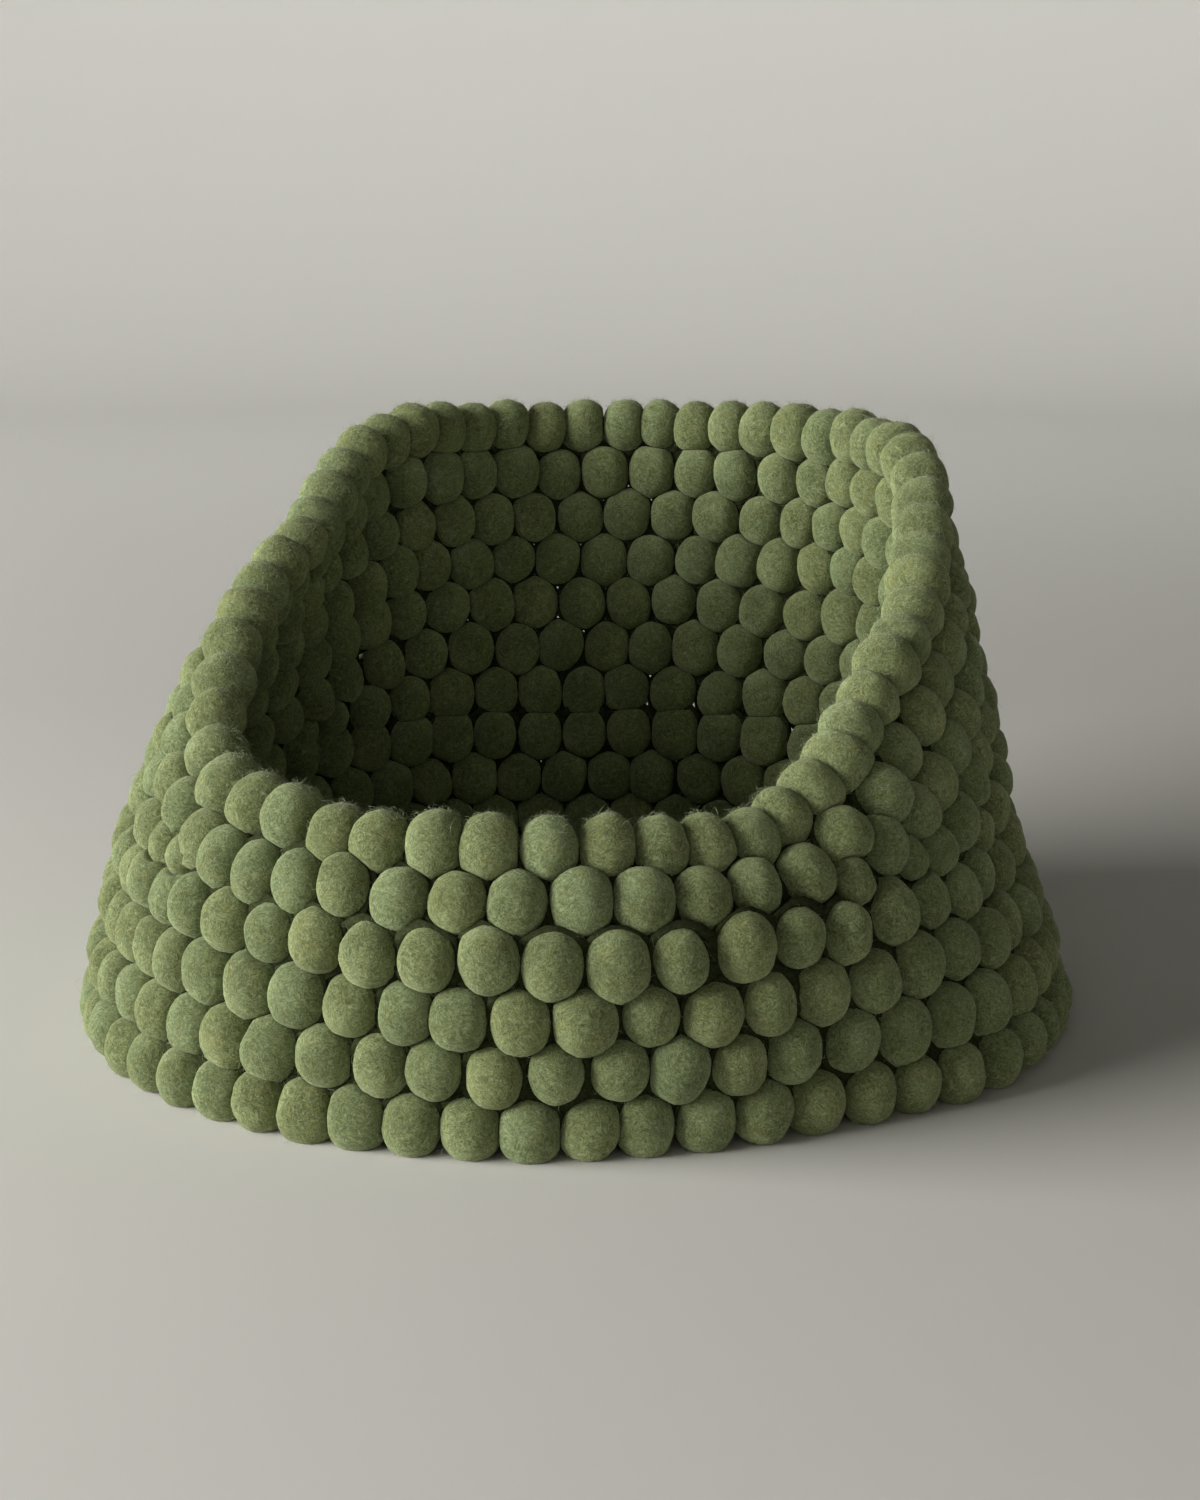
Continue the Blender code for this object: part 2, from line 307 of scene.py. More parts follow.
# ---------------------------------------------------------------- felting and pressing the balls
# Each ball is felted by hand, so none is quite round and no two are alike. Sewn strand to strand,
# they press each other flat where they touch, and the lowest ones are flat where they stand.
# Between them the wool mats into a thin seam, coloured dark as painted shade in the gaps.
BALL_CUTS = 5               # points along an edge of the cube that is rounded into a ball
FLOOR_BALL_CUTS = 4
CAGE_SIZE = 1.03            # makes up for what the last rounding takes off
MAT_SIDES = 18              # the matted wool is a thin collar round each ball
MAT_INSIDE = 0.0085
MAT_OUTSIDE = 0.0155
MAT_THICKNESS = 0.0034
MAT_OVERLAP = 0.0008        # so that the collars of neighbours mat into each other
MAT_OPENNESS = 0.1          # a collar stays in its ball from here on to the side that is open
MAT_SLANT = 0.3             # so that a collar doesn't run far out between two neighbours
NEIGHBOUR_REACH = 0.022     # how far from a ball's middle its neighbour is looked for
NEIGHBOUR_START = 0.004     # nearer than this it is the ball itself
NEIGHBOUR_LIMIT = 0.031
SEAM = 0.00008              # left between two balls that press on each other
PRESS_SOFTNESS = 0.0008     # how gently the round turns into the pressed flat
BARE_GAP = 0.003            # nearer to a neighbour than this the wool is too pressed to be hairy
HAIRY_BACK = 1.25           # where a ball curves back to its neighbours. It is 1 less outside
HAIRY_LEAST = 0.4           # on the sides that are sewn. It is 1 more on the open side
OWN_PLACE = 40.0            # sets each ball in a part of the noise of its own
LUMP_SIZE = 0.0085
DIMPLE_SIZE = 0.0032


class Wire:
    """One output of a node. Arithmetic on it adds Math nodes, or Vector Math nodes for a vector."""

    def __init__(self, tree, socket):
        self.tree = tree
        self.socket = socket

    def maths(self, operation, *others, output=0):
        """The operation on this output and then the others."""
        return maths(self.tree, operation, (self, *others), output)

    def __add__(self, other):
        return self.maths("ADD", other)

    def __sub__(self, other):
        return self.maths("SUBTRACT", other)

    def __rsub__(self, other):
        return maths(self.tree, "SUBTRACT", (other, self))

    def __mul__(self, other):
        return self.maths("MULTIPLY", other)

    def __truediv__(self, other):
        return self.maths("DIVIDE", other)

    def __pow__(self, other):
        return self.maths("POWER", other)

    __radd__ = __add__
    __rmul__ = __mul__

    def dot(self, other):
        return self.maths("DOT_PRODUCT", other, output="Value")

    def length(self):
        return self.maths("LENGTH", output="Value")

    def unit(self):
        return self.maths("NORMALIZE")

    def size(self):
        return self.maths("ABSOLUTE")

    def at_least(self, other):
        return self.maths("MAXIMUM", other)

    def at_most(self, other):
        return self.maths("MINIMUM", other)

    def above(self, other):
        return self.maths("GREATER_THAN", other)

    def below(self, other):
        return self.maths("LESS_THAN", other)


def maths(tree, operation, values, output=0):
    """A Math node on numbers and outputs, or a Vector Math node where one of them is a vector."""
    wires = [value for value in values if isinstance(value, Wire)]
    if any(wire.socket.type in ("VECTOR", "RGBA") for wire in wires):
        values = [(value,) * 3 if isinstance(value, (int, float)) else value for value in values]
        return node(tree, "ShaderNodeVectorMath", {"operation": operation},
                    dict(enumerate(values)), output)
    return node(tree, "ShaderNodeMath", {"operation": operation}, dict(enumerate(values)))


def node(tree, kind, settings=None, inputs=None, output=0):
    """Adds a node: its type, its settings, which are set first, and its inputs' values or links."""
    made = tree.nodes.new(kind)
    for name, value in (settings or {}).items():
        if name == "stops":
            ramp = made.color_ramp
            while len(ramp.elements) < len(value):
                ramp.elements.new(1.0)
            for element, (position, colour) in zip(ramp.elements, value):
                element.position = position
                element.color = colour
        else:
            setattr(made, name, value)
    for key, value in (inputs or {}).items():
        if isinstance(value, Wire):
            tree.links.new(value.socket, made.inputs[key])
        else:
            made.inputs[key].default_value = value
    return Wire(tree, made.outputs[output])


def new_tree(name, sockets):
    """A geometry tree with named inputs. Gives the tree, its inputs as wires and its output."""
    tree = bpy.data.node_groups.new(name, "GeometryNodeTree")
    tree.is_modifier = True
    for label, kind in sockets:
        tree.interface.new_socket(label, in_out="INPUT", socket_type=kind)
    tree.interface.new_socket("Geometry", in_out="OUTPUT", socket_type="NodeSocketGeometry")
    entry = tree.nodes.new("NodeGroupInput")
    wires = {label: Wire(tree, entry.outputs[label]) for label, kind in sockets}
    return tree, wires, tree.nodes.new("NodeGroupOutput")


def noise(tree, position, size, detail=1.0, roughness=0.5, output="Fac"):
    """Noise with features of about that size in metres."""
    return node(tree, "ShaderNodeTexNoise", {"noise_dimensions": "3D"},
                {"Vector": position, "Scale": 1 / size, "Detail": detail, "Roughness": roughness},
                output)


def attribute(tree, name, kind="FLOAT"):
    return node(tree, "GeometryNodeInputNamedAttribute", {"data_type": kind}, {"Name": name})


def felt_ball(tree, cuts):
    """A cube of a few dozen faces, rounded to a ball that is one unit across."""
    cube = node(tree, "GeometryNodeMeshCube", inputs={
        "Vertices X": cuts, "Vertices Y": cuts, "Vertices Z": cuts})
    rounded = node(tree, "GeometryNodeInputPosition").unit() * CAGE_SIZE
    return node(tree, "GeometryNodeSetPosition", inputs={"Geometry": cube, "Position": rounded})


def mat_collar(tree):
    """A thin ring in the middle of the wall's thickness, thickest where it meets its neighbours."""
    loop = node(tree, "GeometryNodeCurvePrimitiveCircle", inputs={
        "Resolution": MAT_SIDES, "Radius": (MAT_INSIDE + 2 * MAT_OUTSIDE) / 3}, output="Curve")
    wedge = node(tree, "GeometryNodeCurvePrimitiveCircle", inputs={
        "Resolution": 3, "Radius": 1.0}, output="Curve")
    wedge = node(tree, "GeometryNodeTransform", inputs={  # from 1.5 deep and sqrt(3) thick
        "Geometry": wedge, "Rotation": (0.0, 0.0, math.pi), "Scale": (
            (MAT_OUTSIDE - MAT_INSIDE) / 1.5, MAT_THICKNESS / math.sqrt(3), 1.0)})
    return node(tree, "GeometryNodeCurveToMesh", inputs={"Curve": loop, "Profile Curve": wedge})


def nearest_neighbour(tree, position, middle, neighbours):
    """The way out from the ball's middle, the way to its neighbour there, how far that is, and
    whether they are sewn to each other."""
    outward = (position - middle).unit()
    others = node(tree, "GeometryNodeObjectInfo", {"transform_space": "ORIGINAL"},
                  {"Object": neighbours}, "Geometry")
    nearest = node(tree, "GeometryNodeSampleNearest", {"domain": "POINT"},
                   {"Geometry": others, "Sample Position": middle + outward * NEIGHBOUR_REACH})
    place = node(tree, "GeometryNodeInputPosition")
    other = node(tree, "GeometryNodeSampleIndex", {"data_type": "FLOAT_VECTOR", "domain": "POINT"},
                 {"Geometry": others, "Value": place, "Index": nearest})
    between = other - middle
    distance = between.length()
    sewn = distance.above(NEIGHBOUR_START) * distance.below(NEIGHBOUR_LIMIT)
    return outward, between.unit(), distance, sewn


def pressed(tree, position, middle, neighbours):
    """Where a point ends up once its ball is pressed against the nearest neighbour on that side,
    and how hairy it stays, which is most where a ball curves back towards its neighbours."""
    outward, towards, distance, sewn = nearest_neighbour(tree, position, middle, neighbours)
    reached = (position - middle).dot(towards)
    kept = reached.maths("SMOOTH_MIN", distance * 0.5 - SEAM, PRESS_SOFTNESS)
    bare = ((distance * 0.5 - reached) / BARE_GAP).at_least(0.0).at_most(1.0)
    bare = 1.0 - sewn * (1.0 - bare)
    outside = outward.dot(attribute(tree, "through", "FLOAT_VECTOR")).size()
    top = outward.dot(attribute(tree, "open_way", "FLOAT_VECTOR")).at_least(0.0)
    hairy = bare * (HAIRY_BACK - outside) * (top + HAIRY_LEAST)
    return position + towards * ((kept - reached) * sewn), hairy


def matted(tree, position, middle, neighbours):
    """A collar reaches half way to the neighbours, and stays in its ball where there are none."""
    outward, towards, distance, sewn = nearest_neighbour(tree, position, middle, neighbours)
    openness = outward.dot(attribute(tree, "open_way", "FLOAT_VECTOR"))
    sewn = sewn * openness.below(MAT_OPENNESS)
    limit = (distance * 0.5 + MAT_OVERLAP) / outward.dot(towards).at_least(MAT_SLANT)
    reach = (position - middle).length()
    return middle + outward * reach.at_most(limit * sewn + MAT_INSIDE * (1.0 - sewn))


def pressed_balls(tree, given):
    """The balls of a strand: felted uneven, pressed by their neighbours, flat where they stand."""
    balls = node(tree, "GeometryNodeInstanceOnPoints", inputs={
        "Points": given["Places"], "Instance": felt_ball(tree, given["Ball Cuts"]),
        "Rotation": attribute(tree, "turn", "QUATERNION"),
        "Scale": attribute(tree, "half_size", "FLOAT_VECTOR")})
    felted = node(tree, "GeometryNodeRealizeInstances", inputs={"Geometry": balls})
    felted = node(tree, "GeometryNodeSubdivisionSurface", inputs={"Mesh": felted, "Level": 1})
    position = node(tree, "GeometryNodeInputPosition")
    middle = attribute(tree, "middle", "FLOAT_VECTOR")
    own = position + middle * OWN_PLACE
    lumps = (noise(tree, own, LUMP_SIZE) - 0.5) * given["Lump Height"] * 2.0
    dimples = (noise(tree, own, DIMPLE_SIZE) - 0.5) * given["Dimple Height"] * 2.0
    felted = node(tree, "GeometryNodeSetPosition", inputs={
        "Geometry": felted, "Offset": (position - middle).unit() * (lumps + dimples)})
    place, hairy = pressed(tree, position, middle, given["Neighbours"])
    felted = node(tree, "GeometryNodeStoreNamedAttribute", {
        "data_type": "FLOAT", "domain": "POINT"}, {
        "Geometry": felted, "Name": "hairy", "Value": hairy})
    felted = node(tree, "GeometryNodeSetPosition", inputs={"Geometry": felted, "Position": place})
    x, y, z = (node(tree, "ShaderNodeSeparateXYZ", inputs={"Vector": position}, output=axis)
               for axis in "XYZ")
    standing = node(tree, "ShaderNodeCombineXYZ", inputs={
        "X": x, "Y": y, "Z": z.maths("SMOOTH_MAX", 0.0, PRESS_SOFTNESS / 2).at_least(0.0)})
    felted = node(tree, "GeometryNodeSetPosition", inputs={
        "Geometry": felted, "Position": standing})
    felted = node(tree, "GeometryNodeSetShadeSmooth", inputs={"Geometry": felted})
    return node(tree, "GeometryNodeSetMaterial", inputs={
        "Geometry": felted, "Material": given["Felt"]})


def seam_collars_painted_shade(tree, given):
    """The matted wool round each ball of a strand, coloured dark as painted shade."""
    collars = node(tree, "GeometryNodeInstanceOnPoints", inputs={
        "Points": given["Places"], "Instance": mat_collar(tree),
        "Rotation": attribute(tree, "lie", "QUATERNION")})
    collars = node(tree, "GeometryNodeRealizeInstances", inputs={"Geometry": collars})
    position = node(tree, "GeometryNodeInputPosition")
    middle = attribute(tree, "middle", "FLOAT_VECTOR")
    collars = node(tree, "GeometryNodeSetPosition", inputs={
        "Geometry": collars, "Position": matted(tree, position, middle, given["Neighbours"])})
    return node(tree, "GeometryNodeSetMaterial", inputs={
        "Geometry": collars, "Material": given["Seam Wool"]})


def strand_tree():
    tree, given, result = new_tree("strand_of_felt_balls", (
        ("Places", "NodeSocketGeometry"), ("Neighbours", "NodeSocketObject"),
        ("Ball Cuts", "NodeSocketInt"),
        ("Lump Height", "NodeSocketFloat"), ("Dimple Height", "NodeSocketFloat"),
        ("Felt", "NodeSocketMaterial"), ("Seam Wool", "NodeSocketMaterial")))
    joined = tree.nodes.new("GeometryNodeJoinGeometry")
    for part in (pressed_balls(tree, given), seam_collars_painted_shade(tree, given)):
        tree.links.new(part.socket, joined.inputs[0])
    tree.links.new(joined.outputs[0], result.inputs["Geometry"])
    return tree


# ---------------------------------------------------------------- dyeing the wool
# The felt is sage green wool, dyed in the fibre and carded, so fibres of a few tones lie across
# each other in it. Its dark lines are partly darker fibres and partly painted shade in the grooves
# between the fibres. Patches of it turn brown, and each ball takes the dye a little differently.
FIBRE_SPACING = 0.00114     # from one drawn fibre to the next
FIBRE_WIDTH_TO_LENGTH = 0.2
FIBRE_CURL = 0.006
LIGHT_FINENESS = 9.0
DARK_FINENESS = 7.0
LIGHT_FIBRES = (            # the way they lie, and how far their noise is shifted
    ((1.0, 0.0, 0.0), 0.0),
    ((0.0, 1.0, 0.0), 0.31),
    ((0.0, 0.0, 1.0), 0.57),
    ((0.577, 0.577, 0.577), 0.83),
)
# dark lines: partly darker fibres, partly painted shade in the grooves between the fibres
DARK_FIBRES_AND_GROOVE_SHADE = (
    ((0.707, 0.707, 0.0), 1.13),
    ((0.0, -0.707, 0.707), 1.37),
    ((-0.707, 0.0, 0.707), 1.71),
)
TONE = {"wool": 0.35, "light fibres": 0.21, "dark fibres and groove shade": 0.16, "grain": 0.21, "clouds": 0.2}
RELIEF = {"light fibres": 0.26, "dark fibres and groove shade": 0.15, "grain": 0.19, "unevenness": 0.7}
RELIEF_DEPTH = 0.00035
RELIEF_STRENGTH = 0.8
GRAIN_SIZE = 0.00055
CLOUD_SIZE = 0.007
UNEVENNESS_SIZE = 0.0028
BROWN_PATCH_SIZE = 0.0045
BROWN_CONTRAST = 3.0
WOOL_TONES = (              # tone, colour of the wool
    (0.10, (0.086, 0.104, 0.045, 1.0)),
    (0.40, (0.186, 0.226, 0.101, 1.0)),
    (0.80, (0.382, 0.445, 0.242, 1.0)),
)
BROWN_TINGE = (1.08, 0.93, 0.72, 1.0)
BALL_TINGES = (             # a ball's tint, and what it does to the colour of the wool
    (0.0, (0.90, 0.96, 1.02, 1.0)),
    (0.5, (1.0, 1.0, 1.0, 1.0)),
    (1.0, (1.07, 1.0, 0.90, 1.0)),
)
BALL_TINGE_STRENGTH = 0.5
BALL_TURN = (17.0, 29.0)    # turns the wool of each ball its own way, in radians for a tint of 1
BALL_SHIFT = 7.0
FELT_FINISH = {
    "Roughness": 0.95, "Diffuse Roughness": 1.0, "Specular IOR Level": 0.15,
    "Sheen Weight": 0.15, "Sheen Roughness": 0.45, "Sheen Tint": (0.80, 0.88, 0.68, 1.0),
}
# painted shade: the seam wool is far darker than the felt, standing for the shade in the deep gaps
# between the balls
SEAM_SHADE_TONES = ((0.3, (0.022, 0.026, 0.012, 1.0)), (0.7, (0.045, 0.053, 0.024, 1.0)))
MATTED_SIZE = 0.0012
MATTED_FINISH = {"Roughness": 1.0, "Specular IOR Level": 0.0}


def new_material(name, finish):
    """A material whose shader has that finish all over. Gives also its tree and its shader."""
    material = bpy.data.materials.new(name)
    material.use_nodes = True
    shader = material.node_tree.nodes["Principled BSDF"]
    for label, value in finish.items():
        shader.inputs[label].default_value = value
    return material, material.node_tree, shader


def multiplied(tree, colour, tinge, strength):
    """A colour with a tinge. Inputs 6 and 7 and output 2 of a Mix node are its colours."""
    return node(tree, "ShaderNodeMix", {"data_type": "RGBA", "blend_type": "MULTIPLY"},
                {"Factor": strength, 6: colour, 7: tinge}, 2)


def felt_material():
    """Sage green wool: fibres of a few tones that lie every way, faint lumps and a soft sheen."""
    material, tree, shader = new_material("sage_wool_felt", FELT_FINISH)
    position = node(tree, "ShaderNodeTexCoord", output="Object")
    middle = node(tree, "ShaderNodeAttribute", {"attribute_name": "middle"}, output="Vector")
    tint = node(tree, "ShaderNodeAttribute", {"attribute_name": "tint"}, output="Fac")
    turn = node(tree, "ShaderNodeCombineXYZ", inputs={
        "X": tint * BALL_TURN[0], "Y": tint * BALL_TURN[1]})
    turned = node(tree, "ShaderNodeVectorRotate", {"rotation_type": "EULER_XYZ"},
                  {"Vector": position - middle, "Rotation": turn}, "Vector")
    facing = turned.unit()
    own = turned + tint * BALL_SHIFT
    bent = own + (noise(tree, own, FIBRE_CURL, output="Color") - 0.5) * FIBRE_CURL

    def fibres(kinds, fineness):
        """Thin wavy lines, from 0 between the fibres to 1 on them, for all ways that they lie."""
        drawn = 0.0
        for lie, shift in kinds:
            lengthwise = node(tree, "ShaderNodeVectorMath", {"operation": "SCALE"}, {
                0: lie, "Scale": bent.dot(lie) * (1 - FIBRE_WIDTH_TO_LENGTH)})
            lines = noise(tree, bent - lengthwise + shift, FIBRE_SPACING)
            end_on = facing.dot(lie)
            lines = (1.0 - (lines * 2.0 - 1.0).size()) ** fineness
            drawn = drawn + lines * (1.0 - end_on * end_on)
        return drawn

    light = fibres(LIGHT_FIBRES, LIGHT_FINENESS)
    dark = fibres(DARK_FIBRES_AND_GROOVE_SHADE, DARK_FINENESS)
    grain = noise(tree, own, GRAIN_SIZE, roughness=0.6)
    clouds = noise(tree, own, CLOUD_SIZE, detail=2.0)
    # the dark lines darken the tone as painted shade in the fibre grooves, beside darker fibres
    tone = (TONE["wool"] + light * TONE["light fibres"] - dark * TONE["dark fibres and groove shade"]
            + (grain - 0.5) * TONE["grain"] + (clouds - 0.5) * TONE["clouds"])
    wool = node(tree, "ShaderNodeValToRGB", {"stops": WOOL_TONES}, {"Fac": tone}, "Color")
    patches = noise(tree, own, BROWN_PATCH_SIZE, detail=3.0, roughness=0.65)
    brownness = ((patches - 0.5) * BROWN_CONTRAST).at_least(0.0)
    brown = multiplied(tree, wool, BROWN_TINGE, brownness)
    ball_tinge = node(tree, "ShaderNodeValToRGB", {"stops": BALL_TINGES}, {"Fac": tint}, "Color")
    dyed = multiplied(tree, brown, ball_tinge, BALL_TINGE_STRENGTH)
    tree.links.new(dyed.socket, shader.inputs["Base Color"])
    unevenness = noise(tree, own, UNEVENNESS_SIZE, detail=2.0)
    height = (light * RELIEF["light fibres"] - dark * RELIEF["dark fibres and groove shade"]
              + grain * RELIEF["grain"] + unevenness * RELIEF["unevenness"])
    bump = node(tree, "ShaderNodeBump", inputs={
        "Height": height, "Distance": RELIEF_DEPTH, "Strength": RELIEF_STRENGTH}, output="Normal")
    tree.links.new(bump.socket, shader.inputs["Normal"])
    return material


def shaded_seam_material():
    """The same wool where it is matted between the balls, painted dark as the shade deep in the
    gaps.
    """
    material, tree, shader = new_material("matted_seam_wool", MATTED_FINISH)
    position = node(tree, "ShaderNodeTexCoord", output="Object")
    wool = node(tree, "ShaderNodeValToRGB", {"stops": SEAM_SHADE_TONES}, {
        "Fac": noise(tree, position, MATTED_SIZE, detail=2.0)}, "Color")
    tree.links.new(wool.socket, shader.inputs["Base Color"])
    return material


# ---------------------------------------------------------------- sewing the strands
# The strands are sewn to each other, each with its balls a little shifted and turned on the yarn.
# A strand's balls and the wool that is matted round them make one soft piece, in the place of the
# packed strand.
PLACE_SPREAD = 0.0006
TILT_SPREAD = math.radians(9)
LUMP_HEIGHT = 0.0009
DIMPLE_HEIGHT = 0.00035
OPEN_SIDE = {"rim_row": 1.0, "foot_row": -1.0}  # nothing is sewn on above or below these two
BALL_ATTRIBUTES = {
    "middle": "FLOAT_VECTOR", "turn": "QUATERNION", "half_size": "FLOAT_VECTOR", "tint": "FLOAT",
    "lie": "QUATERNION", "open_way": "FLOAT_VECTOR", "through": "FLOAT_VECTOR",
}


def new_object(name, data):
    made = bpy.data.objects.new(name, data)
    bpy.context.scene.collection.objects.link(made)
    return made


def places_object(name, balls, open_side):
    """Points where a strand's balls go, with the size, tilt, tint and open side of each ball."""
    columns = {label: [] for label in BALL_ATTRIBUTES}
    for middle, axes, half_size in balls:
        shift = Vector(hand.normal(0.0, PLACE_SPREAD, 3))
        tilt = Vector(hand.normal(0.0, TILT_SPREAD, 3))
        tilt = Matrix.Rotation(tilt.length, 3, tilt).to_quaternion()
        flat = Matrix((axes.col[0], axes.col[2], -axes.col[1])).transposed()
        columns["middle"].append(middle + shift)
        columns["turn"].append(axes.to_quaternion() @ tilt)
        columns["half_size"].append(half_size)
        columns["tint"].append(hand.random())
        columns["lie"].append(flat.to_quaternion())
        columns["open_way"].append(axes.col[2] * open_side)
        columns["through"].append(axes.col[1].copy())
    mesh = bpy.data.meshes.new(name)
    mesh.from_pydata(columns["middle"], [], [])
    for label, kind in BALL_ATTRIBUTES.items():
        field = "vector" if kind == "FLOAT_VECTOR" else "value"
        values = np.array(columns[label]).ravel()
        mesh.attributes.new(label, kind, "POINT").data.foreach_set(field, values)
    return new_object(name, mesh), columns["middle"]


def grow(piece, tree, inputs, spent):
    """Runs a geometry tree on an object and leaves its result there as a plain mesh, without the
    attributes that are spent by then."""
    modifier = piece.modifiers.new(tree.name, "NODES")
    modifier.node_group = tree
    for item in tree.interface.items_tree:
        if item.in_out == "INPUT" and item.name in inputs:
            modifier[item.identifier] = inputs[item.name]
    depsgraph = bpy.context.evaluated_depsgraph_get()
    grown = bpy.data.meshes.new_from_object(
        piece.evaluated_get(depsgraph), preserve_all_data_layers=True, depsgraph=depsgraph)
    piece.modifiers.remove(modifier)
    piece.data = grown
    grown.name = piece.name
    slots = np.empty(len(grown.polygons), np.int32)
    grown.polygons.foreach_get("material_index", slots)
    for slot in reversed(range(len(grown.materials))):
        if grown.materials[slot] is None:  # an empty slot, which no face uses
            grown.materials.pop(index=slot)
            slots -= slots > slot
    grown.polygons.foreach_set("material_index", slots)
    for label in spent:
        if label in grown.attributes:
            grown.attributes.remove(grown.attributes[label])


felt = felt_material()
seam_shade_wool = shaded_seam_material()
felting = strand_tree()
threaded = {}
all_middles = []
for name, balls in strands.items():
    threaded[name], middles = places_object(name + "_balls", balls, OPEN_SIDE.get(name, 0.0))
    all_middles += middles
neighbour_mesh = bpy.data.meshes.new("neighbours")
neighbour_mesh.from_pydata(all_middles, [], [])
neighbours = new_object("neighbours", neighbour_mesh)
for name, piece in threaded.items():
    grow(piece, felting, {
        "Neighbours": neighbours, "Lump Height": LUMP_HEIGHT, "Dimple Height": DIMPLE_HEIGHT,
        "Ball Cuts": FLOOR_BALL_CUTS if name.startswith("base_") else BALL_CUTS,
        "Felt": felt, "Seam Wool": seam_shade_wool},
        ("turn", "lie", "half_size", "open_way", "through", "id"))
for name, piece in threaded.items():
    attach(piece, "root")
    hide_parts(name)
bpy.data.objects.remove(neighbours)

# ---------------------------------------------------------------- loose fibres
# Felted wool stays a little hairy. Short wisps of a few tones stand off the balls of the wall
# where nothing presses them, with a few longer ones among them. The rim, which hands and paws rub,
# has most.
FIBRE_SEED = 3
LEAN_SEED = 1
LENGTH_SEED = 2
FORM_SEED = 3
TONE_SEED = 4
FIBRE_LENGTH = (0.0012, 0.0042)
FIBRE_SHORTNESS = 3.0       # the higher, the fewer are near the longer one
FIBRE_THICKNESS = 0.00012   # a wisp of several hairs
FIBRE_TAPER = 0.7
FIBRE_ROOT = (0.0, 0.0, -0.06)  # where a fibre starts, in fibre lengths from the ball's surface
FIBRE_FORMS = (             # middle and end of its curve
    ((0.45, 0.00, 0.40), (1.00, 0.30, 0.10)),
    ((0.20, 0.00, 0.70), (0.80, 0.30, 0.65)),
    ((0.30, 0.20, 0.45), (0.90, -0.30, 0.40)),
    ((0.60, -0.45, 0.45), (1.40, 0.25, 0.25)),
    ((0.70, 0.60, 0.30), (1.50, -0.20, 0.35)),
)
CURVE_STEPS = 8
FIBRE_POINTS = 3
FIBRE_LEAN = 0.45
LOWEST_FIBRE = 0.00005      # height of a fibre that would reach below the ground
BALL_SKIN = 0.0017          # felted area of one ball, in square metres
RIM_FIBRES_PER_BALL = 690   # on a ball that nothing presses
FIBRES_PER_BALL = 270
FIBRE_TONES = (             # input, material, colour, share of the fibres
    ("Pale Wool", "pale_loose_wool", (0.400, 0.450, 0.270, 1.0), 0.45),
    ("Sage Wool", "sage_loose_wool", (0.240, 0.285, 0.135, 1.0), 0.40),
    ("Brown Wool", "brown_loose_wool", (0.250, 0.225, 0.110, 1.0), 0.15),
)
FIBRE_FINISH = {"Roughness": 0.7, "Specular IOR Level": 0.25, "Sheen Weight": 0.3}


def random_value(tree, seed, low=0.0, high=1.0, kind="FLOAT"):
    made = node(tree, "FunctionNodeRandomValue", {"data_type": kind}, {"Seed": seed})
    for label, value in (("Min", low), ("Max", high)):
        for socket in made.socket.node.inputs:
            if socket.name == label and socket.enabled:
                socket.default_value = value
    for socket in made.socket.node.outputs:
        if socket.enabled:
            return Wire(tree, socket)


def fibre_forms(tree):
    """The curls that a fibre can have, each of them one fibre length long, as instances."""
    forms = tree.nodes.new("GeometryNodeJoinGeometry")
    for middle, end in FIBRE_FORMS:
        form = node(tree, "GeometryNodeCurveQuadraticBezier", inputs={
            "Resolution": CURVE_STEPS, "Start": FIBRE_ROOT, "Middle": middle, "End": end})
        form = node(tree, "GeometryNodeResampleCurve", inputs={
            "Curve": form, "Count": FIBRE_POINTS})
        form = node(tree, "GeometryNodeGeometryToInstance", inputs={0: form})
        tree.links.new(form.socket, forms.inputs[0])
    return Wire(tree, forms.outputs[0])


